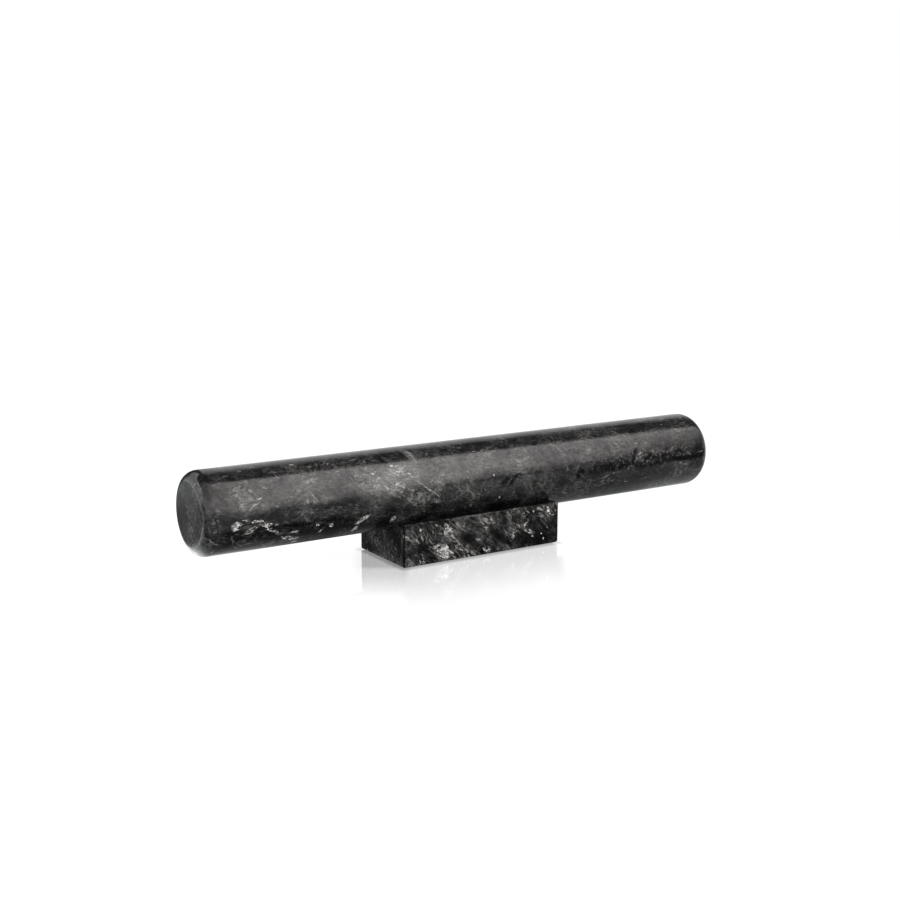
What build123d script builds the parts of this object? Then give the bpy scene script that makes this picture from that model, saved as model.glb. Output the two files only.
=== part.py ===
from build123d import *
import os

# Marble rolling pin without handles: a solid polished stone roller that lies
# in the round groove of a small stone cradle. Millimetres, Z up. The origin is
# on the worktop, under the middle of the roller. The roller runs along X, and
# -Y is the front.

# Roller: one turned stone cylinder. Each end is flat in the middle and rolls
# over to the side in a soft elliptical round, a little deeper than it is wide.
roller_diameter = 50.0
roller_length = 373.0
end_round_width = 6.5
end_round_depth = 7.5

# Cradle: a sawn stone block with the roller's groove ground into its top.
cradle_length = 115.5
cradle_width = 54.5
cradle_height = 26.5
stone_under_groove = 18.7
# The block stands a little off the roller's middle.
cradle_shift = -4.0
# Gap between the roller's skin and the groove, which follows the same centre.
seat_gap = 0.3
# Easing of the block's arrises. The lower right one is rounded much more.
arris_radius = 0.9
worn_arris_radius = 2.3
face_arris_radius = 0.8
groove_lip_radius = 0.6

# Four thin round pads stuck under the cradle, set in from its corners.
pad_diameter = 9.0
pad_thickness = 0.6
pad_inset = 4.0
pad_bevel = 0.15

# Every cut runs past the stone by this much.
overrun = 2.0


def roller_radius():
    return roller_diameter / 2


def groove_radius():
    return roller_radius() + seat_gap


def groove_floor_height():
    return pad_thickness + stone_under_groove


def roller_axis_height():
    return groove_floor_height() + groove_radius()


def make_roller():
    # Half profile of the roller, turned about its own axis.
    half = roller_length / 2
    shoulder = half - end_round_depth
    radius = roller_radius()
    flat_radius = radius - end_round_width
    with BuildPart() as roller:
        with BuildSketch(Plane.XY):
            with BuildLine():
                Line((-half, 0), (half, 0))
                Line((half, 0), (half, flat_radius))
                EllipticalCenterArc(
                    (shoulder, flat_radius),
                    end_round_depth,
                    end_round_width,
                    start_angle=0,
                    arc_size=90,
                )
                Line((shoulder, radius), (-shoulder, radius))
                EllipticalCenterArc(
                    (-shoulder, flat_radius),
                    end_round_depth,
                    end_round_width,
                    start_angle=90,
                    arc_size=90,
                )
                Line((-half, flat_radius), (-half, 0))
            make_face()
        revolve(axis=Axis.X)
    return Pos(0, 0, roller_axis_height()) * roller.part


def make_cradle_block():
    # Side view of the block, seen from the front, with its four corners eased.
    half_length = cradle_length / 2
    with BuildPart() as block:
        with BuildSketch(Plane.XZ) as outline:
            with Locations((0, cradle_height / 2)):
                Rectangle(cradle_length, cradle_height)
            corners = outline.vertices()
            worn = corners.sort_by_distance((half_length, 0, 0))[0]
            fillet([c for c in corners if c != worn], radius=arris_radius)
            worn = outline.vertices().sort_by_distance((half_length, 0, 0))[0]
            fillet(worn, radius=worn_arris_radius)
        extrude(amount=cradle_width / 2, both=True)
        # The front and rear faces are bounded by one smooth loop each.
        rims = block.faces().sort_by(Axis.Y)
        fillet(rims[0].edges() + rims[-1].edges(), radius=face_arris_radius)
        # The groove is a cylinder about the roller's axis, ground end to end.
        axis_height = stone_under_groove + groove_radius()
        with Locations(Pos(0, 0, axis_height) * Rot(0, 90, 0)):
            Cylinder(
                groove_radius(),
                cradle_length + 2 * overrun,
                mode=Mode.SUBTRACT,
            )
        # Its sharp rim, two long lips and an arc at each end, is eased as one.
        groove = block.faces().filter_by(GeomType.CYLINDER).sort_by(SortBy.AREA)[-1]
        fillet(groove.edges(), radius=groove_lip_radius)
    return Pos(cradle_shift, 0, pad_thickness) * block.part


def pad_places():
    # One pad near each corner of the cradle's underside, each with its name.
    reach_x = cradle_length / 2 - pad_inset - pad_diameter / 2
    reach_y = cradle_width / 2 - pad_inset - pad_diameter / 2
    places = {}
    for row, side_y in (("front", -1), ("rear", 1)):
        for column, side_x in (("left", -1), ("right", 1)):
            name = "foot_pad_" + row + "_" + column
            places[name] = (cradle_shift + side_x * reach_x, side_y * reach_y)
    return places


def make_foot_pad(place):
    x, y = place
    with BuildPart() as pad:
        Cylinder(
            pad_diameter / 2,
            pad_thickness,
            align=(Align.CENTER, Align.CENTER, Align.MIN),
        )
        chamfer(pad.edges().group_by(Axis.Z)[0], length=pad_bevel)
    return Pos(x, y, 0) * pad.part


def main():
    os.makedirs("parts", exist_ok=True)
    pieces = {"roller": make_roller(), "cradle_block": make_cradle_block()}
    for name, place in pad_places().items():
        pieces[name] = make_foot_pad(place)
    for name, solid in pieces.items():
        export_step(solid, "parts/" + name + ".step")
        size = solid.bounding_box().size
        litres = solid.volume / 1e6
        print(f"{name}: {size.X:.2f} x {size.Y:.2f} x {size.Z:.2f} mm, {litres:.4f} l")
    print(f"roller axis at {roller_axis_height():.2f} mm")


if __name__ == "__main__":
    main()
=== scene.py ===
import math
import bmesh
import bpy
from mathutils import Matrix, Vector


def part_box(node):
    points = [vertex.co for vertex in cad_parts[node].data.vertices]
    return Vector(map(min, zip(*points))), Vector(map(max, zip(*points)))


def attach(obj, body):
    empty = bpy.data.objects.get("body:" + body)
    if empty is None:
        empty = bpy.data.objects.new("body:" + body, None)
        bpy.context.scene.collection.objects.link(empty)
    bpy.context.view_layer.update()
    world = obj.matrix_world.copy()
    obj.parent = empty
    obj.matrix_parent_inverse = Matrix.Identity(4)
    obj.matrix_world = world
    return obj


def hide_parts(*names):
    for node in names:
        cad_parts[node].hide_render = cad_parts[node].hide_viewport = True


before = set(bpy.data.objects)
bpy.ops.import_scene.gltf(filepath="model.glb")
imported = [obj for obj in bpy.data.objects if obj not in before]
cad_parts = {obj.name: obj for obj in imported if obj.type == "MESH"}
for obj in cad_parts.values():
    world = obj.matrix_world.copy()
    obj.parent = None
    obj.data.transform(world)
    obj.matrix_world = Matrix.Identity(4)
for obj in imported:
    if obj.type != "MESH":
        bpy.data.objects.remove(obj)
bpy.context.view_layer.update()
mm = 0.001  # sizes below are in millimetres unless a comment says otherwise

scene = bpy.context.scene
scene.view_settings.view_transform = "Standard"


# small helpers for the node trees

def put(tree, kind, **settings):
    node = tree.nodes.new(kind)
    for key, value in settings.items():
        setattr(node, key, value)
    return node


def feed(tree, socket, value):
    # a socket gets either a link or a plain number or colour
    if isinstance(value, bpy.types.NodeSocket):
        tree.links.new(value, socket)
    else:
        socket.default_value = value


def cleanTree(owner):
    owner.use_nodes = True
    owner.node_tree.nodes.clear()
    return owner.node_tree


def newMaterial(name):
    material = bpy.data.materials.new(name)
    return material, cleanTree(material)


def coordinates(tree, kind="Object"):
    return put(tree, "ShaderNodeTexCoord").outputs[kind]


def axesOf(tree, vector):
    axes = put(tree, "ShaderNodeSeparateXYZ")
    feed(tree, axes.inputs[0], vector)
    return axes.outputs


def sums(tree, operation, first, second=0.0, clamp=False):
    node = put(tree, "ShaderNodeMath", operation=operation, use_clamp=clamp)
    feed(tree, node.inputs[0], first)
    feed(tree, node.inputs[1], second)
    return node.outputs[0]


def plus(tree, first, second):
    return sums(tree, "ADD", first, second)


def times(tree, first, *others):
    for other in others:
        first = sums(tree, "MULTIPLY", first, other)
    return first


def less(tree, value):
    # what is left of 1
    return sums(tree, "SUBTRACT", 1.0, value, clamp=True)


def scaled(tree, value, factor, base):
    # value times factor, with base added
    return plus(tree, times(tree, value, factor), base)


def apart(tree, value, spot):
    # the distance between two values
    return sums(tree, "ABSOLUTE", sums(tree, "SUBTRACT", value, spot))


def soften(tree, value, low, high, start=0.0, end=1.0):
    # smooth step from start to end while the value goes from low to high
    node = put(tree, "ShaderNodeMapRange", interpolation_type="SMOOTHSTEP")
    feed(tree, node.inputs["Value"], value)
    node.inputs["From Min"].default_value = low
    node.inputs["From Max"].default_value = high
    node.inputs["To Min"].default_value = start
    node.inputs["To Max"].default_value = end
    return node.outputs["Result"]


def rowsOf(tree, setup):
    # a row in a dictionary says from where to where a level goes over, and from what to
    # what, or else from 0 to 1
    def row(value, name):
        return soften(tree, value, *setup[name])
    return row


def fade(tree, share, first, second):
    node = put(tree, "ShaderNodeMix", data_type="FLOAT")
    feed(tree, node.inputs[0], share)
    feed(tree, node.inputs[2], first)
    feed(tree, node.inputs[3], second)
    return node.outputs[0]


def blend(tree, share, first, second):
    node = put(tree, "ShaderNodeMix", data_type="RGBA")
    feed(tree, node.inputs["Factor"], share)
    node.inputs["A"].default_value = first
    node.inputs["B"].default_value = second
    return node.outputs["Result"]


def vectors(tree, operation, first, second=None, scale=None):
    node = put(tree, "ShaderNodeVectorMath", operation=operation)
    feed(tree, node.inputs[0], first)
    if second is not None:
        feed(tree, node.inputs[1], second)
    if scale is not None:
        feed(tree, node.inputs["Scale"], scale)
    return node.outputs["Value" if operation == "LENGTH" else "Vector"]


def clouding(tree, vector, scale, detail, roughness):
    node = put(tree, "ShaderNodeTexNoise")
    feed(tree, node.inputs["Vector"], vector)
    node.inputs["Scale"].default_value = scale
    node.inputs["Detail"].default_value = detail
    node.inputs["Roughness"].default_value = roughness
    return node


def patches(tree, vector, scale, detail, roughness, *levels):
    # noise that comes up between two of its levels
    return soften(tree, clouding(tree, vector, scale, detail, roughness).outputs["Fac"], *levels)


def cells(tree, vector, scale, feature):
    node = put(tree, "ShaderNodeTexVoronoi", feature=feature)
    feed(tree, node.inputs["Vector"], vector)
    node.inputs["Scale"].default_value = scale
    return node.outputs


def emission(tree, strength, tint=(1.0, 1.0, 1.0, 1.0)):
    node = put(tree, "ShaderNodeEmission")
    node.inputs["Color"].default_value = tint
    feed(tree, node.inputs["Strength"], strength)
    return node.outputs[0]


def matte(tree, tint):
    node = put(tree, "ShaderNodeBsdfDiffuse")
    node.inputs["Color"].default_value = tint
    return node.outputs[0]


def either(tree, share, first, second):
    # the second shader by the share, else the first
    node = put(tree, "ShaderNodeMixShader")
    feed(tree, node.inputs[0], share)
    tree.links.new(first, node.inputs[1])
    tree.links.new(second, node.inputs[2])
    return node.outputs[0]


def byRay(tree, kind, others, own):
    # one kind of ray gets its own shader
    return either(tree, put(tree, "ShaderNodeLightPath").outputs[kind], others, own)


def roughen(tree, finish, height, depth):
    bump = put(tree, "ShaderNodeBump")
    bump.inputs["Strength"].default_value = 1.0
    bump.inputs["Distance"].default_value = depth * mm
    feed(tree, bump.inputs["Height"], height)
    tree.links.new(bump.outputs["Normal"], finish.inputs["Normal"])


def closeTree(tree, shader, kind="ShaderNodeOutputMaterial"):
    tree.links.new(shader, put(tree, kind).inputs["Surface"])


# small helpers for objects

def cornersOf(box):
    # its lowest and its highest corner
    return [Vector(corner) for corner in box]


def place(name, mesh, material=None):
    if material:
        mesh.materials.append(material)
    made = bpy.data.objects.new(name, mesh)
    scene.collection.objects.link(made)
    return made


def smoothMesh(name, mesh):
    # a finished bmesh as mesh data with smooth faces
    data = bpy.data.meshes.new(name)
    mesh.to_mesh(data)
    mesh.free()
    for face in data.polygons:
        face.use_smooth = True
    return data


def flatPanel(name, corners, material):
    # one flat face of the studio, with its corners in millimetres
    mesh = bpy.data.meshes.new(name)
    mesh.from_pydata([Vector(corner) * mm for corner in corners], [], [(0, 1, 2, 3)])
    return place(name, mesh, material)


# camera

cameraView = {
    "lens": 53.31,
    "sensor": 36,  # its width, and the frame is square
    "turn": 32.23,  # degrees to the left of the front
    "rise": 11.113,  # degrees above the worktop
    "distance": 841.27,
    "aim": (-11.83, 0, 63.76),
}


def setCamera(view):
    turn = math.radians(view["turn"])
    rise = math.radians(view["rise"])
    back = Vector((-math.sin(turn) * math.cos(rise), -math.cos(turn) * math.cos(rise), math.sin(rise)))
    data = bpy.data.cameras.new("photoCamera")
    data.lens = view["lens"]
    data.sensor_width = view["sensor"]
    data.sensor_fit = "HORIZONTAL"
    camera = place("photoCamera", data)
    camera.location = (Vector(view["aim"]) + back * view["distance"]) * mm
    camera.rotation_euler = back.to_track_quat("Z", "Y").to_euler()
    scene.camera = camera


setCamera(cameraView)
print("camera set")


# softbox: one large cloth above and in front
softbox = {
    "rear": (190, -192),  # y of its upper edge at the left and the right end
    "top": 1000,
    "low": (-1250, 2),  # y and z of its lower edge, in front
    "sides": (-1000, 1450),  # x of its two sides
    "level": 3.15,  # at its brightest
    "tint": (1, 0.965, 0.955, 1),
    # it fades at the lower edge and to both sides, in metres of height and of x
    "lowFade": (-0.16, 0.52),
    "rightFade": (0.35, 1.5, 1, 0.65),
    "leftFade": (-0.5, 0.25, 0.62, 1),
    # darker in its upper right corner, and high up on its left half
    "cornerAcross": (0.4, 1.1),
    "cornerUp": (0.45, 1, 0.86, 0),
    "rearAcross": (0.08, 0.24, 0.45, 0),
    "rearUp": (0.35, 0.85),
}


def softboxCloth(setup):
    material, tree = newMaterial("softboxCloth")
    row = rowsOf(tree, setup)
    axes = axesOf(tree, coordinates(tree))
    x, z = axes["X"], axes["Z"]
    glow = times(tree, row(z, "lowFade"), row(x, "rightFade"), row(x, "leftFade"))
    corner = times(tree, row(x, "cornerAcross"), row(z, "cornerUp"))
    rear = times(tree, row(x, "rearAcross"), row(z, "rearUp"))
    glow = times(tree, glow, less(tree, sums(tree, "MAXIMUM", corner, rear)), setup["level"])
    closeTree(tree, emission(tree, glow, setup["tint"]))
    return material


def hangSoftbox(setup):
    left, right = setup["sides"]
    rearLeft, rearRight = setup["rear"]
    top = setup["top"]
    lowY, lowZ = setup["low"]
    corners = [(left, rearLeft, top), (right, rearRight, top), (right, lowY, lowZ), (left, lowY, lowZ)]
    panel = flatPanel("softbox", corners, softboxCloth(setup))
    panel.visible_camera = False


# room: painted walls round about, in degrees from straight behind, minus to the left;
# heights are those of a direction, 1 straight overhead
room = {
    "ceiling": 0.07,
    "backdrop": 0.8,
    "backdropTop": (129, 141),  # degrees over from the front
    "backdropFade": (134, 165, 0.8, 1),
    # a dark flag stands behind and gives the roller's end its outline, narrower high up,
    # where only the top of the round mirrors it
    "flagLeft": (-17, -11),
    "flagRight": (19.5, 22, 1, 0),
    "flagLean": (0.25, 0.5, 0, 21),
    # a pale wall on the left, from the rear corner forward
    "wall": (-76, -12, 1.9, 0.95),  # its level
    "wallTop": (0.68, 0.76, 1, 0),
    "wallFront": (-175, -150),
    "wallRear": (-20, -14, 1, 0),
    # a tall narrow light in that wall and a bright rim along its top, from that light to
    # the rear, which only the rounded left end mirrors
    "tallAt": -80,
    "tallLight": (2, 5, 1.8, 0),
    "rimAt": 0.69,
    "rimHeight": (0.02, 0.05, 1, 0),
    "rimSide": (-84, -78, 0, 1.8),
    # dim low down in line with the roller, which keeps its outline when it is seen end on
    "inLineAt": -90,
    "inLine": (13, 24, 0.86, 0),
    "inLineHeight": (0.13, 0.24, 1, 0),
    # a plain pale wall on the right
    "rightRear": (70, 90, 0, 0.8),
    "rightFront": (125, 150, 1, 0),
    "rightTop": (0.5, 0.65, 1, 0),
}


def plainBackground(tree, level):
    node = put(tree, "ShaderNodeBackground")
    node.inputs["Color"].default_value = (1.0, 1.0, 1.0, 1.0)
    feed(tree, node.inputs["Strength"], level)
    return node.outputs[0]


def paintRoom(setup):
    world = bpy.data.worlds.new("studioRoom")
    scene.world = world
    tree = cleanTree(world)
    row = rowsOf(tree, setup)
    x, y, up = axesOf(tree, coordinates(tree, "Generated"))

    def degrees(first, second):
        return times(tree, sums(tree, "ARCTAN2", first, second), 180 / math.pi)

    tilt = sums(tree, "ABSOLUTE", degrees(up, times(tree, y, -1.0)))
    side = degrees(x, y)
    leaning = sums(tree, "SUBTRACT", side, row(up, "flagLean"))
    flag = times(tree, row(leaning, "flagLeft"), row(side, "flagRight"))
    backdrop = times(tree, row(tilt, "backdropTop"), row(tilt, "backdropFade"), less(tree, flag))
    level = fade(tree, backdrop, setup["ceiling"], setup["backdrop"])

    rim = times(tree, row(apart(tree, up, setup["rimAt"]), "rimHeight"), row(side, "rimSide"))
    tallLight = row(apart(tree, side, setup["tallAt"]), "tallLight")
    wall = plus(tree, row(side, "wall"), sums(tree, "MAXIMUM", tallLight, rim))
    wall = times(tree, wall, row(up, "wallTop"), row(side, "wallFront"), row(leaning, "wallRear"))
    inLine = times(tree, row(apart(tree, side, setup["inLineAt"]), "inLine"), row(up, "inLineHeight"))
    level = sums(tree, "MAXIMUM", level, times(tree, wall, less(tree, inLine)))
    rightWall = times(tree, row(side, "rightRear"), row(side, "rightFront"), row(up, "rightTop"))
    level = sums(tree, "MAXIMUM", level, rightWall)

    # the camera itself sees plain white
    painted = plainBackground(tree, level)
    white = plainBackground(tree, 1.0)
    closeTree(tree, byRay(tree, "Is Camera Ray", painted, white), "ShaderNodeOutputWorld")


# table: places on it in metres, x to the right and y to the rear
tableTop = {
    "size": 9000,  # this one in millimetres
    # to the camera a white sheet with painted shade, a little greyer near the object and at its foot
    "sheetTint": (0.15, 0.15, 0.15, 1),
    "sheetGlow": (0.25, 0.7, 0.93, 1),
    "footShade": (0, 0.005, 0.6, 1),
    # a soft image of the cradle's faces lies in the sheet, straight below them as the
    # camera sees it, and none of the roller
    "nearer": (-0.54, -0.84),  # the way to the camera
    "imageLeft": (-0.037, -0.027),
    "imageRight": (0.092, 0.104, 1, 0),
    "imageCorner": (-0.001, 0.006),
    "imageOfSide": (0, 0.078, 0.5, 0),
    "imageAtSide": (-0.008, 0.002, 0.17, 0),
    "imageOfFront": (0, 0.12, 0.38, 0),
    "imageRear": (0.03, 0.055, 1, 0),
    "imageSlant": (0.05, 0.14),  # by the sheet's mirroring, so none from above
    "index": 1.5,
    "imageBlur": 0.05,
    "imageLift": 0.18,
    # in the stone's polish it is a glowing grey table that ends a hand's breadth in front
    "mirrorTint": (0.96, 1, 0.985, 1),
    "frontEdge": (-0.127, -0.119),
    # painted shade: darker near the cradle, most of all to its left
    "nearLeft": (-0.078, -0.052, 0.5, 0.05),
    "nearRight": (0.09, 0.18, 0.2, 0.42),
    "nearMiddle": (-0.075, 0.045),
    "nearRear": (-0.02, 0.01, 1, 0),
    # painted shadow and painted dark image of the cradle at its foot
    "footLeft": (-0.06, -0.045),
    "footRight": (0.052, 0.062, 1, 0),
    "footFront": (-0.056, -0.046, 0, 0.72),
    # past the edge it darkens to the right, along the camera's own slant
    "pastSlant": 0.77,
    "pastRight": (0.035, 0.095, 1, 0.03),
    "pastFront": (-0.6, -0.14, 0.62, 0.42),
    # behind it is brightest away from the cradle's shadow
    "behind": (-0.035, 0.035),
    "behindMiddle": 0.018,
    "behindOutward": (0.115, 0.195, 0.42, 0.95),
    # bright beyond the right end, which only that end's round mirrors
    "rightEnd": (0.235, 0.3),
    "rightEndFront": (-0.16, -0.1),
    "rightEndLevel": 1,
    # beyond the left end: dim close by, bright far out
    "leftEnd": (-0.215, -0.195, 1, 0),
    "leftEndFront": (0, 0.06),
    "closeFront": (0.066, 0.1, 1.4, 0.15),
    "closeRear": (0.18, 0.26, 0.06, 0.36),
    "farOut": (-0.46, -0.32),
    "farLevel": 1.4,
    # the flag's dark foot at the back, between two slants from the roller's left end
    "flagLeftSlant": 0.27,
    "flagLeft": (0, 0.02),
    "flagRightSlant": -0.39,
    "flagRight": (-0.01, 0.01, 1, 0),
    "flagFront": (0.125, 0.15, 0, 0.93),
    # light spilling under the left end
    "spillLeft": (-0.215, -0.195),
    "spillRight": (-0.19, -0.168, 1.5, 0),
    "spillFront": (-0.02, 0.02),
    "spillRear": (0.066, 0.096, 1, 0),
    # the cradle's own shadow behind its left end
    "shadowAt": (-0.085, 0.05, 0),
    "shadow": (0.015, 0.075, 0.15, 1),
    # what all other light meets
    "plainTint": (0.55, 0.55, 0.55, 1),
}


def whiteSheet(tree, raw, setup):
    # what the camera sees of the table
    row = rowsOf(tree, setup)
    x, y = axesOf(tree, raw)[:2]

    # how far a place lies from the cradle's footprint
    low, high = cornersOf(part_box("cradle_block"))
    middle = (low + high) / 2
    reach = (high - low) / 2
    middle.z = reach.z = 0.0
    beside = vectors(tree, "ABSOLUTE", vectors(tree, "SUBTRACT", raw, middle))
    beside = vectors(tree, "MAXIMUM", vectors(tree, "SUBTRACT", beside, reach), (0.0, 0.0, 0.0))
    beside = vectors(tree, "LENGTH", beside)

    # how far it lies before the cradle's near corner, and to that corner's right
    fromX = sums(tree, "SUBTRACT", x, low.x)
    fromY = sums(tree, "SUBTRACT", y, low.y)
    wayX, wayY = setup["nearer"]
    before = plus(tree, times(tree, fromX, wayX), times(tree, fromY, wayY))
    rightOf = plus(tree, times(tree, fromX, -wayY), times(tree, fromY, wayX))
    inSide = plus(tree, row(before, "imageOfSide"), row(before, "imageAtSide"))
    image = fade(tree, row(rightOf, "imageCorner"), inSide, row(beside, "imageOfFront"))
    mirroring = put(tree, "ShaderNodeFresnel")
    mirroring.inputs["IOR"].default_value = setup["index"]
    image = times(tree, image, row(rightOf, "imageLeft"), row(rightOf, "imageRight"),
                  row(mirroring.outputs[0], "imageSlant"), row(y, "imageRear"))

    # painted shade: the sheet's glow is a little lower near the object, and lower still at the cradle's foot
    glow = plus(tree, row(vectors(tree, "LENGTH", raw), "sheetGlow"), times(tree, image, setup["imageLift"]))
    sheet = put(tree, "ShaderNodeAddShader")
    tree.links.new(emission(tree, times(tree, glow, row(beside, "footShade"))), sheet.inputs[0])
    tree.links.new(matte(tree, setup["sheetTint"]), sheet.inputs[1])
    sheen = put(tree, "ShaderNodeBsdfGlossy")
    sheen.inputs["Color"].default_value = (1.0, 1.0, 1.0, 1.0)
    sheen.inputs["Roughness"].default_value = setup["imageBlur"]
    return either(tree, image, sheet.outputs[0], sheen.outputs[0])


def mirroredTable(tree, raw, setup):
    # what the polished stone sees of the table: a glow with painted light and shade
    row = rowsOf(tree, setup)
    x, y = axesOf(tree, raw)[:2]
    near = fade(tree, row(x, "nearMiddle"), row(y, "nearLeft"), row(x, "nearRight"))
    foot = times(tree, row(x, "footLeft"), row(x, "footRight"), row(y, "footFront"))
    near = times(tree, near, less(tree, foot))
    slant = plus(tree, x, times(tree, y, setup["pastSlant"]))
    past = times(tree, row(slant, "pastRight"), row(y, "pastFront"))
    near = times(tree, fade(tree, row(y, "frontEdge"), past, near), row(y, "nearRear"))
    outward = apart(tree, x, setup["behindMiddle"])
    level = plus(tree, near, times(tree, row(y, "behind"), row(outward, "behindOutward")))

    rightEnd = times(tree, row(x, "rightEnd"), row(y, "rightEndFront"))
    level = fade(tree, rightEnd, level, setup["rightEndLevel"])
    closeBy = plus(tree, row(y, "closeFront"), row(y, "closeRear"))
    leftLevel = fade(tree, row(x, "farOut"), setup["farLevel"], closeBy)
    leftEnd = times(tree, row(x, "leftEnd"), row(y, "leftEndFront"))
    level = fade(tree, leftEnd, level, leftLevel)

    endX = sums(tree, "SUBTRACT", x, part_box("roller")[0][0])
    leftOf = plus(tree, endX, times(tree, y, setup["flagLeftSlant"]))
    rightOf = plus(tree, endX, times(tree, y, setup["flagRightSlant"]))
    flag = times(tree, row(leftOf, "flagLeft"), row(rightOf, "flagRight"), row(y, "flagFront"))
    level = times(tree, level, less(tree, flag))
    spill = times(tree, row(x, "spillRight"), row(y, "spillFront"), row(y, "spillRear"), row(x, "spillLeft"))
    level = plus(tree, level, spill)
    fromShadow = vectors(tree, "LENGTH", vectors(tree, "SUBTRACT", raw, setup["shadowAt"]))
    level = times(tree, level, row(fromShadow, "shadow"))
    return emission(tree, level, setup["mirrorTint"])


def layTable(setup):
    material, tree = newMaterial("tableTop")
    raw = coordinates(tree)
    plain = matte(tree, setup["plainTint"])
    unseen = byRay(tree, "Is Glossy Ray", plain, mirroredTable(tree, raw, setup))
    closeTree(tree, byRay(tree, "Is Camera Ray", unseen, whiteSheet(tree, raw, setup)))
    half = setup["size"] / 2
    corners = [(-half, -half, 0), (half, -half, 0), (half, half, 0), (-half, half, 0)]
    table = flatPanel("table", corners, material)


hangSoftbox(softbox)
paintRoom(room)
layTable(tableTop)
print("studio lit")


# black marble, shared by both stones; scales are per metre
marble = {
    # the stone's folds and torn edges: scale, reach in millimetres, detail
    "folded": (26, 9, 2),
    "torn": (110, 1.5, 3),
    "frayed": (560, 0.15, 2),
    "markTorn": (170, 1.5, 4),
    "markFrayed": (620, 0.7, 3),
    # patches: scale, detail, roughness, and the levels where one starts and is full
    "clouds": (48, 7, 0.66, 0.37, 0.66),
    "grit": (620, 4, 0.85, 0.38, 0.66),
    "crush": (95, 5, 0.65, 0.42, 0.66),
    "holes": (380, 4, 0.75, 0.4, 0.54),
    "pores": (300, 4, 0.85, 0.44, 0.56),
    "softGrains": (120, 6, 0.75, 0.34, 0.66),
    "wear": (60, 4, 0.6, 0.3, 0.7),
    # broken pieces
    "lumps": 88,
    "fine": 980,
    "coarse": 640,
    "lumpTones": (0.1, 1),  # from and to, spread over each stone's own lumps
    "pieceTones": (0, 1, 0.25, 1),
    "picked": (1, 1.12),  # level and density together pass this
    "specks": (0.965, 0.975),
    # cracks: scale, width, and the levels of the noise that breaks them up
    "hairAlong": (300, 0.09, 0.48, 0.6),
    "hairAcross": (190, 0.07, 0.49, 0.6),
    "seams": (88, 0.03, 0.46, 0.6),
    "laceAlong": (560, 0.2, 0.42, 0.56),
    "laceAcross": (430, 0.17, 0.42, 0.56),
    "runs": (0.6, 4, 0.7),  # that noise: share of the scale, detail, roughness
    # how one thing grows with another: a factor, and what is there without it
    "smokeByGrit": (1.6, 0.14),
    "richByClouds": (0.7, 0.15),
    "richByCrush": (0.9, 0.25),
    "hairByClouds": 0.5,
    "hairByCrush": (0.8, 0.12),
    "seamsBeside": 0.1,
    "hazeByGrit": 0.7,
    "hazeByFlakes": (1.1, 0.35),
    "streakByGrit": (0.8, 0.4),
    # shares of the splinters, in the stone and in its white patches
    "fineShare": 0.42,
    "coarseShare": 0.22,
    "whiteShare": 0.5,
    "whiteCoarse": 0.7,
    "laceLevels": (0.1, 0.6),
    "poreFill": (0.8, 1, 0.1, 0.35),
    "whiteTones": (0, 0.5, 0.3),
    "whiteGround": 0.9,  # how dark the stone is round a patch's strokes
    "blackTint": (0.0016, 0.0017, 0.0018, 1),
    "whiteTint": (0.86, 0.855, 0.84, 1),
    # marks, where they don't say it themselves
    "power": 1,
    "core": 0.25,  # share of the mark that is at full power
    "leastDepth": 2,
    # finish
    "index": 1.5,
    "pitRough": 0.35,
    "pitDull": 0.8,
    "glossBySoftGrains": 0.45,
    "glossByGrit": 0.3,
    "glossByFine": 0.13,
    "glossByLumps": 0.12,
    "reliefByGrit": 0.9,
    "relief": (150, 3, 0.5),  # scale, detail, roughness
    "reliefByNoise": 1.5,
}


def alongGrain(tree, vector, grain):
    # first axis turned to run with the stone's grain, then the pattern drawn out along it
    dip, swing, draw = grain
    node = put(tree, "ShaderNodeMapping", vector_type="TEXTURE")
    feed(tree, node.inputs["Vector"], vector)
    node.inputs["Rotation"].default_value = (0.0, math.radians(dip), math.radians(swing))
    node.inputs["Scale"].default_value = (draw, 1.0, 1.0)
    return node.outputs["Vector"]


def drift(tree, vector, scale, reach, detail):
    # pushes the pattern about by up to reach millimetres
    push = clouding(tree, vector, scale, detail, 0.5).outputs["Color"]
    centred = vectors(tree, "SUBTRACT", push, (0.5, 0.5, 0.5))
    return vectors(tree, "ADD", vector, vectors(tree, "SCALE", centred, scale=2 * reach * mm))


def splinters(tree, vector, scale):
    # sharp little pieces, each with three levels of its own
    colour = cells(tree, vector, scale, "F1")["Color"]
    pick = put(tree, "ShaderNodeSeparateColor")
    feed(tree, pick.inputs[0], colour)
    return pick.outputs


def markField(tree, vector, mark, centre, long, out):
    # one mark: an ellipsoid of stone round centre, drawn out along the
    # direction long, with out as the way off the surface
    across = out.cross(long).normalized()
    local = put(tree, "ShaderNodeMapping", vector_type="TEXTURE")
    feed(tree, local.inputs["Vector"], vector)
    local.inputs["Location"].default_value = centre * mm
    local.inputs["Rotation"].default_value = Matrix((long, across, out)).transposed().to_euler("XYZ")
    length, width = mark["size"]
    depth = mark.get("depth", max(marble["leastDepth"], width))
    local.inputs["Scale"].default_value = (length / 2 * mm, width / 2 * mm, depth * mm)
    blob = put(tree, "ShaderNodeTexGradient", gradient_type="SPHERICAL")
    feed(tree, blob.inputs["Vector"], local.outputs["Vector"])
    full = 1.0 - mark.get("core", marble["core"])
    return soften(tree, blob.outputs["Fac"], 0.0, full, 0.0, mark.get("power", marble["power"]))


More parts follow.
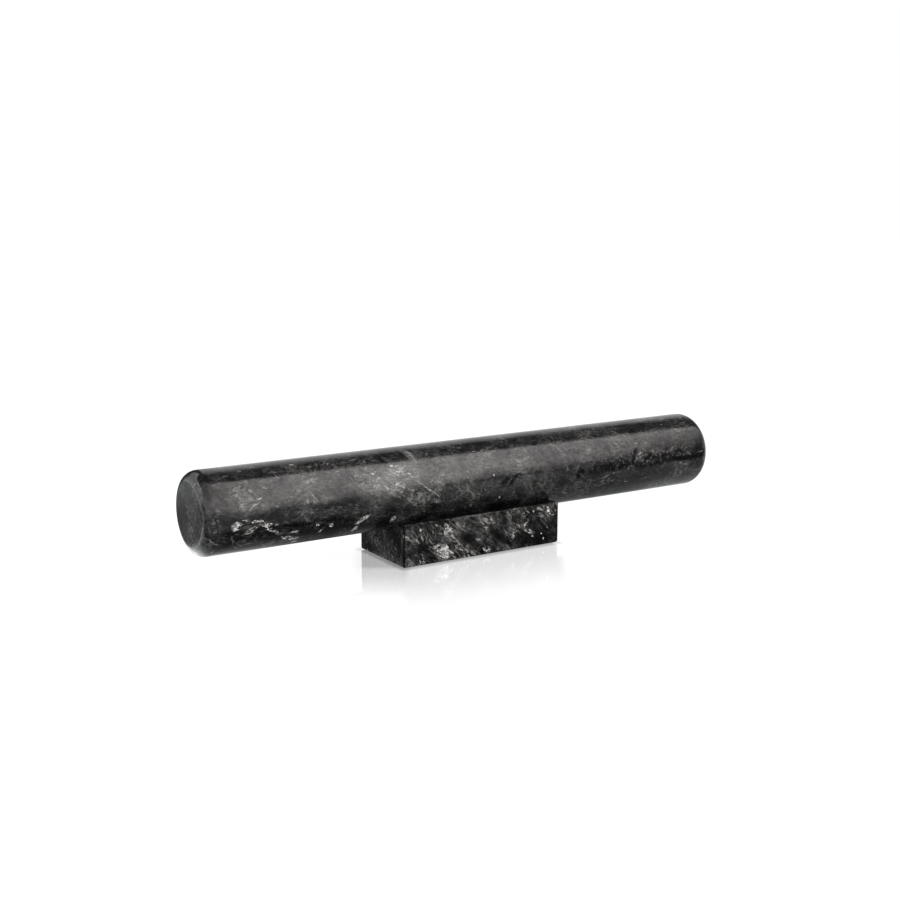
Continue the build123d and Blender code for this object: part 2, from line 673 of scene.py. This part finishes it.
def blackMarble(name, stone, placeMark):
    material, tree = newMaterial(name)
    raw = coordinates(tree)
    sawn = vectors(tree, "ADD", raw, [value * mm for value in stone["sawnFrom"]])
    folded = drift(tree, sawn, *marble["folded"])
    torn = drift(tree, drift(tree, folded, *marble["torn"]), *marble["frayed"])
    grain = alongGrain(tree, torn, stone["grain"])
    cross = alongGrain(tree, torn, stone["crossGrain"])
    edges = drift(tree, drift(tree, raw, *marble["markTorn"]), *marble["markFrayed"])

    def marksOf(kind):
        # the strongest mark of that kind; joined one by one, so the shader stays small
        total = 0.0
        for mark in stone.get(kind + "Marks", []):
            total = sums(tree, "MAXIMUM", markField(tree, edges, mark, *placeMark(mark)), total)
        return total

    def chosen(level, tone, density):
        # the pieces whose level is high enough for the density there
        picked = soften(tree, plus(tree, level, density), *marble["picked"])
        return times(tree, picked, soften(tree, tone, *marble["pieceTones"]))

    def cracks(vector, scale, thick, *gaps):
        # the edges between cells, broken into short runs
        distance = cells(tree, vector, scale, "DISTANCE_TO_EDGE")["Distance"]
        lines = soften(tree, distance, 0.0, thick, 1.0, 0.0)
        share, detail, roughness = marble["runs"]
        return times(tree, lines, patches(tree, vector, scale * share, detail, roughness, *gaps))

    # clouds of grey smoke over broken lumps that each took it up differently
    clouds = patches(tree, torn, *marble["clouds"])
    clouds = sums(tree, "ADD", clouds, marksOf("smoke"), clamp=True)
    clouds = times(tree, clouds, less(tree, marksOf("clear")))
    lump, lumpTone, lumpGloss = splinters(tree, torn, marble["lumps"])
    grit = patches(tree, grain, *marble["grit"])
    smoke = times(tree, clouds, soften(tree, lumpTone, *marble["lumpTones"], *stone["lumps"]))
    smoke = times(tree, smoke, scaled(tree, grit, *marble["smokeByGrit"]))

    # crystal splinters along the grain, thick where the stone was crushed
    fine, fineTone, fineGloss = splinters(tree, grain, marble["fine"])
    coarse, coarseTone = splinters(tree, grain, marble["coarse"])[:2]
    crushed = marksOf("crackle")
    patchy = patches(tree, torn, *marble["crush"])
    loose = times(tree, patchy, scaled(tree, clouds, *marble["richByClouds"]))
    thick = times(tree, crushed, scaled(tree, patchy, *marble["richByCrush"]))
    richness = sums(tree, "ADD", loose, thick, clamp=True)
    flakes = chosen(fine, fineTone, times(tree, richness, marble["fineShare"]))
    chips = chosen(coarse, coarseTone, times(tree, richness, marble["coarseShare"]))
    flakes = sums(tree, "MAXIMUM", flakes, times(tree, chips, stone["chips"]))

    # hairline cracks healed with calcite, two ways, and the seams between the lumps
    hair = sums(tree, "MAXIMUM", cracks(grain, *marble["hairAlong"]), cracks(cross, *marble["hairAcross"]))
    seams = cracks(torn, *marble["seams"])
    specks = soften(tree, times(tree, fine, lump), *marble["specks"])

    haze, streaks, darksAndPaintedShade, pits, white, dull = (
        marksOf(kind) for kind in ("haze", "streak", "dark", "pit", "white", "dull"))
    pits = times(tree, pits, patches(tree, edges, *marble["holes"]))
    # broken white patches: a lace of calcite strokes and splinters with black pores
    lace = sums(tree, "MAXIMUM", cracks(grain, *marble["laceAlong"]), cracks(cross, *marble["laceAcross"]))
    pores = patches(tree, edges, *marble["pores"])
    density = times(tree, white, marble["whiteShare"])
    broken = chosen(fine, fineTone, density)
    chips = chosen(coarse, coarseTone, times(tree, density, marble["whiteCoarse"]))
    broken = sums(tree, "MAXIMUM", broken, chips)
    lace = times(tree, lace, soften(tree, white, *marble["laceLevels"]))
    broken = sums(tree, "MAXIMUM", broken, lace)
    filled = sums(tree, "MAXIMUM", pores, soften(tree, white, *marble["poreFill"]))
    broken = times(tree, broken, filled)
    whites = times(tree, broken, soften(tree, white, *marble["whiteTones"], stone["calcite"]))

    # all of it laid over one another, from the ground up
    total = times(tree, smoke, stone["smoke"])
    total = plus(tree, total, times(tree, flakes, stone["fleck"]))
    healed = times(tree, hair, stone["hair"])
    crowd = times(tree, clouds, marble["hairByClouds"])
    crowd = plus(tree, crowd, scaled(tree, crushed, *marble["hairByCrush"]))
    total = plus(tree, total, times(tree, healed, crowd))
    seams = times(tree, seams, stone["seam"])
    total = plus(tree, total, times(tree, seams, plus(tree, clouds, marble["seamsBeside"])))
    veil = times(tree, grit, marble["hazeByGrit"])
    veil = plus(tree, veil, scaled(tree, flakes, *marble["hazeByFlakes"]))
    total = plus(tree, total, times(tree, haze, veil))
    total = plus(tree, total, times(tree, specks, stone["specks"]))
    total = plus(tree, total, stone["ground"])
    total = times(tree, total, less(tree, darksAndPaintedShade))
    total = times(tree, total, less(tree, times(tree, white, marble["whiteGround"])))
    total = plus(tree, total, whites)
    total = plus(tree, total, times(tree, streaks, scaled(tree, grit, *marble["streakByGrit"])))
    total = times(tree, total, less(tree, pits))
    tone = blend(tree, total, marble["blackTint"], marble["whiteTint"])

    finish = put(tree, "ShaderNodeBsdfPrincipled")
    feed(tree, finish.inputs["Base Color"], tone)
    wear = patches(tree, sawn, *marble["wear"], *stone["polish"])
    rough = sums(tree, "ADD", wear, times(tree, pits, marble["pitRough"]), clamp=True)
    feed(tree, finish.inputs["Roughness"], rough)
    finish.inputs["IOR"].default_value = marble["index"]
    # soft grains take less polish than hard ones, so the gloss is uneven
    gloss = times(tree, patches(tree, torn, *marble["softGrains"]), marble["glossBySoftGrains"])
    gloss = plus(tree, gloss, times(tree, grit, marble["glossByGrit"]))
    pieceGloss = times(tree, fineGloss, marble["glossByFine"])
    pieceGloss = plus(tree, pieceGloss, times(tree, lumpGloss, marble["glossByLumps"]))
    gloss = fade(tree, plus(tree, gloss, pieceGloss), *stone["gloss"])
    dull = plus(tree, times(tree, pits, marble["pitDull"]), dull)
    feed(tree, finish.inputs["Specular IOR Level"], times(tree, gloss, less(tree, dull)))
    relief = times(tree, grit, marble["reliefByGrit"])
    bumps = clouding(tree, torn, *marble["relief"]).outputs["Fac"]
    relief = plus(tree, relief, times(tree, bumps, marble["reliefByNoise"]))
    roughen(tree, finish, relief, stone["relief"])
    closeTree(tree, finish.outputs[0])
    return material


# roller: a mark is at millimetres from the middle and degrees up from the front, its turn
# is degrees up from the roller's length, and its size is its length and width
roller = {
    "steps": 288,  # facets round
    "endRound": (6.5, 7.5),  # how far each end's round comes in and goes back
    "endSteps": 20,  # facets over the round
    "endRings": (0.3, 0.62, 0.88),  # of the flat's radius
    "lengthSteps": 24,  # stretches along the straight side
    "sawnFrom": (410, 125, 60),  # where in the stone
    "grain": (18, 4, 2.4),  # dip and swing in degrees, draw
    "crossGrain": (-40, 10, 2.2),
    "ground": 0.002,
    "smoke": 0.04,
    "lumps": (0.8, 1.2),
    "calcite": 0.85,
    "fleck": 0.11,
    "hair": 0.11,
    "seam": 0.03,
    "specks": 0.3,
    "chips": 0.8,
    "polish": (0.05, 0.09),
    "gloss": (0.24, 0.7),
    "relief": 0.014,
    # broken white patches and strokes: the vein at the left and its tail, then smaller ones
    "whiteMarks": [
        {"at": (-168, -9), "turn": 12, "size": (10, 6.5), "power": 0.95},
        {"at": (-157, -5.5), "turn": -10, "size": (25, 2), "power": 0.85},
        {"at": (-157, -15), "turn": 14, "size": (22, 3), "power": 0.65},
        {"at": (-160, -20), "turn": 10, "size": (13, 2), "power": 0.5},
        {"at": (-150, -11), "turn": -24, "size": (12, 3), "power": 0.7},
        {"at": (-146, -22), "turn": -34, "size": (24, 3.6), "power": 0.9},
        {"at": (-133, -42), "turn": -22, "size": (18, 5), "power": 0.9},
        {"at": (-143.5, -14.6), "turn": 10, "size": (4, 3)},
        {"at": (-129, -54), "turn": -20, "size": (8, 3), "power": 0.8},
        {"at": (-131, -31), "turn": 6, "size": (9, 2), "power": 0.6},
        {"at": (-107.6, -28), "turn": -50, "size": (6, 3.4)},
        {"at": (-117, -25), "turn": -10, "size": (4, 3), "power": 0.7},
        {"at": (-114, -36), "turn": 40, "size": (7, 2), "power": 0.6},
        {"at": (-87, -27), "turn": 43, "size": (15, 4.6)},
        {"at": (-89.5, -44), "turn": 70, "size": (10, 5), "power": 0.7},
        {"at": (-65, -34), "turn": 75, "size": (10, 6), "power": 0.6},
        {"at": (-62.7, 19.5), "turn": 15, "size": (14, 3.4), "power": 0.34},
        {"at": (-36, -14), "turn": -38, "size": (14, 5), "power": 0.25},
        # partly a pale patch, partly painted reflection of the white table below, on the left end's lower
        # rim
        {"at": (-184, -80), "turn": 80, "size": (22, 12), "power": 0.45, "depth": 8},
        {"at": (136, 11), "turn": 22, "size": (16, 5), "power": 0.35},
        {"at": (150, 13), "turn": 24, "size": (16, 5), "power": 0.24},
        {"at": (124, 15), "turn": 15, "size": (10, 3), "power": 0.3},
        # at the back, out of the photo's sight
        {"at": (60, 158), "turn": 20, "size": (44, 7), "power": 0.75},
        {"at": (34, 176), "turn": -15, "size": (26, 4), "power": 0.6},
        {"at": (92, 148), "turn": 35, "size": (20, 5), "power": 0.6},
        {"at": (-122, 155), "turn": -25, "size": (32, 5), "power": 0.6},
    ],
    # crushed stone round them
    "crackleMarks": [
        {"at": (-150, -28), "turn": -8, "size": (84, 30), "power": 0.4},
        {"at": (-112, -20), "turn": -4, "size": (80, 18), "power": 0.6},
        {"at": (-50, -8), "turn": -8, "size": (90, 26), "power": 0.32},
        {"at": (-66, 26), "turn": 18, "size": (60, 26), "power": 0.5},
        {"at": (-165, 18), "turn": 20, "size": (44, 18), "power": 0.2},
        {"at": (130, 9), "turn": 5, "size": (80, 15), "power": 0.85},
        {"at": (-128, -6), "size": (120, 20), "power": 0.45},
        {"at": (-15, 2), "turn": -10, "size": (80, 20), "power": 0.28},
        {"at": (85, -20), "size": (60, 16), "power": 0.35},
        # at the back
        {"at": (50, 162), "turn": 10, "size": (130, 34), "power": 0.6},
        {"at": (-112, 160), "turn": -10, "size": (90, 26), "power": 0.5},
    ],
    # black blotches, the dark runs that break the vein up, and painted shade over the cradle
    "darkMarks": [
        {"at": (-150, -3.5), "turn": -7, "size": (26, 2.2), "power": 0.9},
        {"at": (-172, -24), "turn": -62, "size": (15, 7), "power": 0.85},
        {"at": (-148, -20), "turn": -8, "size": (86, 26), "power": 0.6, "core": 0.5},
        {"at": (-108, -18), "turn": -4, "size": (54, 20), "power": 0.6, "core": 0.4},
        {"at": (-165, -27), "turn": -20, "size": (13, 4), "power": 0.85},
        {"at": (-129, -20), "turn": -5, "size": (40, 8), "power": 0.9},
        {"at": (-144, -39), "turn": -16, "size": (24, 5), "power": 0.8},
        {"at": (-95, -36), "turn": -6, "size": (50, 10), "power": 0.7},
        {"at": (-72, -44), "size": (26, 12), "power": 0.95},
        # painted shade and painted dark reflection: the stretch over the cradle, in its shadow and mirroring
        # its dark top
        {"at": (5, -32), "size": (116, 12), "power": 0.2, "core": 0.6},
        {"at": (-118, 3), "turn": -4, "size": (60, 6), "power": 0.8},
        {"at": (164, -1.5), "turn": -2, "size": (50, 5), "power": 0.95},
        # at the back
        {"at": (-4, 168), "turn": 8, "size": (80, 12), "power": 0.7},
        {"at": (92, 178), "turn": -8, "size": (70, 10), "power": 0.7},
    ],
    # rough black holes
    "pitMarks": [
        {"at": (-109, -1.5), "turn": -6, "size": (28, 2.4), "power": 0.6},
        {"at": (-92, 0), "turn": -20, "size": (30, 8), "power": 0.45},
        {"at": (15.6, 1), "turn": 22, "size": (16, 8), "core": 0.5},
        {"at": (24.4, 5.5), "size": (11, 6), "core": 0.5},
        {"at": (73, -1.5), "turn": 50, "size": (13, 7), "core": 0.5},
        {"at": (98, 1), "turn": 3, "size": (60, 9), "core": 0.45},
        {"at": (136, 2), "turn": 3, "size": (56, 11), "core": 0.45},
        {"at": (166, -1.5), "turn": -2, "size": (46, 6), "core": 0.45},
        {"at": (130, 5), "turn": 20, "size": (22, 8), "core": 0.5},
        {"at": (143, 8), "turn": -30, "size": (14, 6)},
        {"at": (118, 7), "turn": 60, "size": (12, 6)},
        {"at": (119, 18), "turn": 24, "size": (12, 6)},
        {"at": (158.6, 11), "turn": -5, "size": (16, 6)},
    ],
    # pale clouds, one the vein over the cradle's left end, and painted light on the end's lower rim
    "hazeMarks": [
        {"at": (-66, 24), "turn": 14, "size": (64, 26), "power": 0.13},
        {"at": (-20, 28), "size": (80, 22), "power": 0.05},
        # painted reflection of the white table below, on the left end's lower rim
        {"at": (-185, -88), "turn": 90, "size": (46, 10), "power": 0.34, "depth": 8},
        {"at": (0, -5), "size": (150, 15), "power": 0.024},
        {"at": (-130, 28), "size": (120, 22), "power": 0.025},
        {"at": (-158, 9), "turn": 10, "size": (50, 10), "power": 0.07},
        {"at": (-116, 9), "turn": 8, "size": (44, 9), "power": 0.06},
        {"at": (-49, 62), "turn": -75, "size": (22, 8), "power": 0.15},
        {"at": (-66, 56), "turn": -75, "size": (20, 4), "power": 0.04},
        # at the back
        {"at": (52, 164), "turn": 12, "size": (110, 26), "power": 0.06},
    ],
    # thin bright hairlines and single grains
    "streakMarks": [
        {"at": (-153, 23.4), "turn": 24, "size": (5, 1.3), "power": 0.45},
        {"at": (-157.5, 14.3), "turn": 27, "size": (7, 1), "power": 0.25},
        {"at": (-119.7, 18), "turn": -51, "size": (9, 1), "power": 0.25},
        {"at": (-71.7, 16.6), "turn": -42, "size": (6, 1.2), "power": 0.4},
        {"at": (-66, 36.7), "turn": -60, "size": (8, 1.1), "power": 0.22},
        {"at": (-78.7, 37.6), "turn": 6, "size": (5, 1.3), "power": 0.25},
        {"at": (-48, 61), "turn": -76, "size": (15, 1.2), "power": 0.16},
        {"at": (-43, 6), "turn": -38, "size": (32, 1), "power": 0.26},
        {"at": (58, 42), "turn": -44, "size": (22, 0.8), "power": 0.18},
        {"at": (130, -26), "turn": 12, "size": (14, 0.8), "power": 0.12},
        {"at": (150, -39), "turn": 50, "size": (7, 0.8), "power": 0.12},
        {"at": (113.6, -28), "turn": -8, "size": (5, 1.4), "power": 0.16},
        {"at": (10.4, -22.8), "size": (1.6, 1.6), "power": 0.55, "core": 0.6},
        {"at": (5, 13), "size": (1.6, 1.6), "power": 0.45, "core": 0.6},
        {"at": (-181.5, -29), "turn": -32, "size": (13, 1), "power": 0.22},
        {"at": (-183.5, -33), "turn": 57, "size": (9, 0.9), "power": 0.2},
        {"at": (-180, -49), "turn": 85, "size": (4, 1.1), "power": 0.5},
        {"at": (-169.6, -31), "turn": -76, "size": (12, 0.8), "power": 0.16},
        {"at": (-166, -47), "turn": -48, "size": (10, 0.8), "power": 0.2},
        {"at": (177.6, 5.5), "turn": 8, "size": (8, 1.2), "power": 0.12},
        # at the back
        {"at": (-24, 150), "turn": -50, "size": (34, 0.9), "power": 0.2},
        {"at": (-84, 168), "turn": 40, "size": (28, 0.9), "power": 0.2},
    ],
    # stretches with less smoke
    "clearMarks": [
        {"at": (-182, 82), "turn": 90, "size": (66, 12), "power": 0.9, "core": 0.5},
        {"at": (-5, 62), "size": (50, 14), "power": 0.6},
        {"at": (140, 62), "size": (110, 14), "power": 0.6},
    ],
    # stretches with more of it
    "smokeMarks": [
        {"at": (70, 62), "size": (110, 14), "power": 0.25},
        {"at": (-120, 62), "size": (140, 16), "power": 0.35},
    ],
}


def rollerMesh(piece, centre, half, radius):
    steps = piece["steps"]
    comeIn, goBack = (value * mm for value in piece["endRound"])
    flat = radius - comeIn
    straight = half - goBack
    # profile from the middle of the left end face out, along and back in
    end = [(-half, flat * share) for share in piece["endRings"]]
    for step in range(piece["endSteps"] + 1):
        angle = math.pi / 2 * step / piece["endSteps"]
        end.append((-straight - goBack * math.cos(angle), flat + comeIn * math.sin(angle)))
    stride = 2 * straight / piece["lengthSteps"]
    side = [(-straight + stride * step, radius) for step in range(1, piece["lengthSteps"])]
    profile = end + side + [(-x, r) for x, r in reversed(end)]

    mesh = bmesh.new()
    rings = []
    for x, r in profile:
        ring = []
        for step in range(steps):
            angle = 2 * math.pi * step / steps
            spot = centre + Vector((x, -r * math.cos(angle), r * math.sin(angle)))
            ring.append(mesh.verts.new(spot))
        rings.append(ring)
    for first, second in zip(rings, rings[1:]):
        for step in range(steps):
            after = (step + 1) % steps
            mesh.faces.new((first[step], second[step], second[after], first[after]))
    for ring, x in ((rings[0], -half), (rings[-1], half)):
        hub = mesh.verts.new(centre + Vector((x, 0, 0)))
        for step in range(steps):
            mesh.faces.new((hub, ring[step], ring[(step + 1) % steps]))
    bmesh.ops.recalc_face_normals(mesh, faces=mesh.faces)
    return smoothMesh("marbleRoller", mesh)


def turnRoller(piece):
    low, high = cornersOf(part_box("roller"))
    centre = (low + high) / 2
    radius = (high.z - low.z) / 2

    def onRoller(mark):
        along, around = mark["at"]
        around = math.radians(around)
        out = Vector((0, -math.cos(around), math.sin(around)))
        upward = Vector((0, math.sin(around), math.cos(around)))
        turn = math.radians(mark.get("turn", 0))
        long = Vector((math.cos(turn), 0, 0)) + upward * math.sin(turn)
        middle = Vector((along, centre.y / mm, centre.z / mm))
        return middle + out * radius / mm, long, out

    mesh = rollerMesh(piece, centre, (high.x - low.x) / 2, radius)
    turned = place("marbleRoller", mesh, blackMarble("rollerMarble", piece, onRoller))
    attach(turned, "roller")
    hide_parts("roller")


turnRoller(roller)
print("roller turned and polished")


# cradle: a mark is at its face's own two coordinates in the frame, such as x and z on the
# front, and lies on the front unless it names another face
cradle = {
    "grooveSteps": 64,  # facets across the groove
    "seatGap": 0.3,  # between roller and groove
    "arris": 0.9,  # ease of the block's end edges
    "wornArris": 2.3,  # the lower right edge
    "faceArris": 0.8,
    "lip": 0.6,  # ease of the groove's rim
    "easeSteps": 5,
    "sawnFrom": (-150, 330, 220),  # where in the stone
    "grain": (38, 6, 3),
    "crossGrain": (62, 10, 2.4),
    "ground": 0.001,
    "smoke": 0.084,
    "lumps": (0.4, 1.35),
    "calcite": 0.75,
    "fleck": 0.3,
    "hair": 0.13,
    "seam": 0.04,
    "specks": 0.6,
    "chips": 0.4,
    "polish": (0.07, 0.12),
    "gloss": (0.04, 0.42),
    "relief": 0.01,
    # broken white patches
    "whiteMarks": [
        {"at": (-34, 7.5), "turn": -25, "size": (21, 12)},
        {"at": (-31, 20.5), "turn": -35, "size": (18, 10), "power": 0.62},
        {"at": (-1, 3), "turn": -30, "size": (12, 6), "power": 0.5},
        {"at": (31, 11.5), "turn": -28, "size": (20, 4), "power": 0.55},
        {"at": (20, 12), "turn": 60, "size": (20, 5), "power": 0.42},
        {"at": (24, 15.5), "turn": 18, "size": (22, 4), "power": 0.5},
        {"at": (33.5, 22.5), "turn": 70, "size": (7, 2), "power": 0.6},
        {"at": (44, 22.5), "turn": -32, "size": (26, 9), "power": 0.34},
        {"face": "rear", "at": (26, 16), "turn": 30, "size": (22, 10), "power": 0.85},
        {"face": "rear", "at": (4, 8), "turn": 20, "size": (16, 5), "power": 0.6},
        {"face": "right", "at": (8, 17), "turn": 35, "size": (14, 5), "power": 0.6},
    ],
    # crushed stone round them
    "crackleMarks": [
        {"at": (-30, 12), "turn": -30, "size": (70, 40), "power": 0.7},
        {"at": (34, 21), "turn": -12, "size": (50, 12), "power": 0.5},
        {"face": "rear", "at": (20, 14), "turn": 25, "size": (70, 34), "power": 0.6},
        {"face": "right", "at": (0, 15), "turn": 30, "size": (50, 24), "power": 0.5},
    ],
    # dark bands between them, then painted shade on the front's left edge and the top's front land
    "darkMarks": [
        # painted dark reflection: the front's left edge mirrors the dark room
        {"at": (-61.6, 13), "turn": 90, "size": (60, 2), "power": 0.95, "core": 0.5, "depth": 1.4},
        # painted shade: the top's front land lies under the roller and mirrors its dark underside
        {"face": "top", "at": (-4, -22.4), "size": (400, 8.4), "power": 0.93, "core": 0.7, "depth": 2.5},
        {"at": (-50, 11), "turn": 80, "size": (18, 13), "power": 0.85},
        {"at": (-15, 12), "turn": -38, "size": (34, 12), "power": 0.95},
        {"at": (9, 10), "turn": -38, "size": (38, 10), "power": 0.95, "core": 0.3},
        {"at": (42, 13), "turn": -44, "size": (22, 3), "power": 0.95},
        {"at": (32, 7), "size": (54, 14), "power": 0.8, "core": 0.4},
        {"face": "rear", "at": (-24, 13), "turn": 35, "size": (40, 14), "power": 0.85, "core": 0.4},
        {"face": "left", "at": (-21, 13), "turn": 80, "size": (30, 12), "power": 0.7},
    ],
    # single bright grains
    "streakMarks": [
        {"at": (-49.8, 23), "size": (1.8, 1.8), "power": 0.7, "core": 0.5},
        {"at": (27.4, 15.5), "size": (1.5, 1.5), "power": 0.7, "core": 0.5},
        {"at": (33.3, 7.5), "size": (1.6, 1.6), "power": 0.7, "core": 0.5},
        {"at": (40.4, 8.5), "size": (1.5, 1.5), "power": 0.7, "core": 0.5},
        {"at": (41.5, 5), "size": (1.5, 1.5), "power": 0.7, "core": 0.5},
        {"face": "left", "at": (18.6, 1.8), "size": (1.8, 1.8), "power": 0.5, "core": 0.5},
    ],
    # a cloud over the left end
    "smokeMarks": [
        {"face": "left", "at": (4, 13), "turn": -35, "size": (56, 30), "power": 0.9},
    ],
    # ground edges of the front that take no polish
    "dullMarks": [
        {"at": (-4, 26.6), "size": (400, 3.2), "power": 0.9, "core": 0.5, "depth": 1.6},
        {"at": (-61.6, 13), "turn": 90, "size": (60, 2), "power": 0.8, "core": 0.5, "depth": 1.4},
    ],
}


def cradleMesh(piece, low, high):
    # the end view, front lower corner first, then the groove from rear to front
    rollerLow, rollerHigh = cornersOf(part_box("roller"))
    axis = (rollerLow + rollerHigh) / 2
    radius = (rollerHigh.z - rollerLow.z) / 2 + piece["seatGap"] * mm
    opening = math.acos((axis.z - high.z) / radius)
    outline = [(low.y, low.z), (high.y, low.z), (high.y, high.z)]
    grooveStart = len(outline)
    for step in range(piece["grooveSteps"] + 1):
        angle = opening * (1 - 2 * step / piece["grooveSteps"])
        outline.append((axis.y + radius * math.sin(angle), axis.z - radius * math.cos(angle)))
    grooveEnd = len(outline) - 1
    outline.append((low.y, high.z))
    count = len(outline)

    mesh = bmesh.new()
    ends = [[mesh.verts.new((x, y, z)) for y, z in outline] for x in (low.x, high.x)]
    for step in range(count):
        after = (step + 1) % count
        mesh.faces.new((ends[0][step], ends[1][step], ends[1][after], ends[0][after]))
    mesh.faces.new(list(reversed(ends[0])))
    mesh.faces.new(ends[1])
    bmesh.ops.recalc_face_normals(mesh, faces=mesh.faces)

    # how much each edge is eased, as a share of the widest
    weights = mesh.edges.layers.float.new("bevel_weight_edge")

    def ease(first, second, size):
        mesh.edges.get((first, second))[weights] = size / piece["wornArris"]

    for step in (0, 1, 2, count - 1):
        ease(ends[0][step], ends[1][step], piece["faceArris"])
    for step in (grooveStart, grooveEnd):
        ease(ends[0][step], ends[1][step], piece["lip"])
    for ring in ends:
        for step in range(count):
            size = piece["arris"]
            if grooveStart <= step < grooveEnd:
                size = piece["lip"]
            elif step == 0 and ring is ends[1]:
                size = piece["wornArris"]
            elif step in (1, count - 1):
                size = piece["faceArris"]
            ease(ring[step], ring[(step + 1) % count], size)
    return smoothMesh("marbleCradle", mesh)


def cutCradle(piece):
    low, high = cornersOf(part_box("cradle_block"))

    # each face's level direction, its way up, its way out, and a corner that it meets
    along, inward, upward = Vector((1, 0, 0)), Vector((0, 1, 0)), Vector((0, 0, 1))
    faces = {
        "front": (along, upward, -inward, low),
        "rear": (-along, upward, inward, high),
        "left": (-inward, upward, -along, low),
        "right": (inward, upward, along, high),
        "top": (along, inward, upward, high),
    }

    def onCradle(mark):
        level, rise, out, corner = faces[mark.get("face", "front")]
        turn = math.radians(mark.get("turn", 0))
        spot = iter(mark["at"])
        centre = Vector([corner[way] / mm if out[way] else next(spot) for way in range(3)])
        return centre, level * math.cos(turn) + rise * math.sin(turn), out

    mesh = cradleMesh(piece, low, high)
    block = place("marbleCradle", mesh, blackMarble("cradleMarble", piece, onCradle))
    eased = block.modifiers.new("easedEdges", "BEVEL")
    eased.limit_method = "WEIGHT"
    eased.width = piece["wornArris"] * mm
    eased.segments = piece["easeSteps"]
    eased.use_clamp_overlap = False
    eased.harden_normals = True
    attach(block, "cradle")
    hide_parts("cradle_block")


cutCradle(cradle)
print("cradle cut and grooved")


# feet: four pads under the cradle, which keep the shape of their CAD solids
feet = {
    "names": ["foot_pad_front_left", "foot_pad_front_right", "foot_pad_rear_left", "foot_pad_rear_right"],
    "dark": (0.016, 0.016, 0.017, 1),
    "light": (0.045, 0.044, 0.042, 1),
    "grit": (1400, 4, 0.7),  # scale per metre, detail, roughness
    "blush": (260, 3, 0.5),
    "sheen": (0.3, 0.7, 0.72, 0.9),  # blush from and to, roughness from and to
    "relief": 0.05,  # of its grit
}


def feltedRubber(piece):
    material, tree = newMaterial("padRubber")
    raw = coordinates(tree)
    grit = clouding(tree, raw, *piece["grit"]).outputs["Fac"]
    blush = clouding(tree, raw, *piece["blush"]).outputs["Fac"]
    tone = blend(tree, times(tree, grit, blush), piece["dark"], piece["light"])
    finish = put(tree, "ShaderNodeBsdfPrincipled")
    feed(tree, finish.inputs["Base Color"], tone)
    feed(tree, finish.inputs["Roughness"], soften(tree, blush, *piece["sheen"]))
    roughen(tree, finish, grit, piece["relief"])
    closeTree(tree, finish.outputs[0])
    return material


rubber = feltedRubber(feet)
for name in feet["names"]:
    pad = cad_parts[name]
    for slot in pad.material_slots:
        slot.link = "OBJECT"
        slot.material = rubber
print("feet finished")
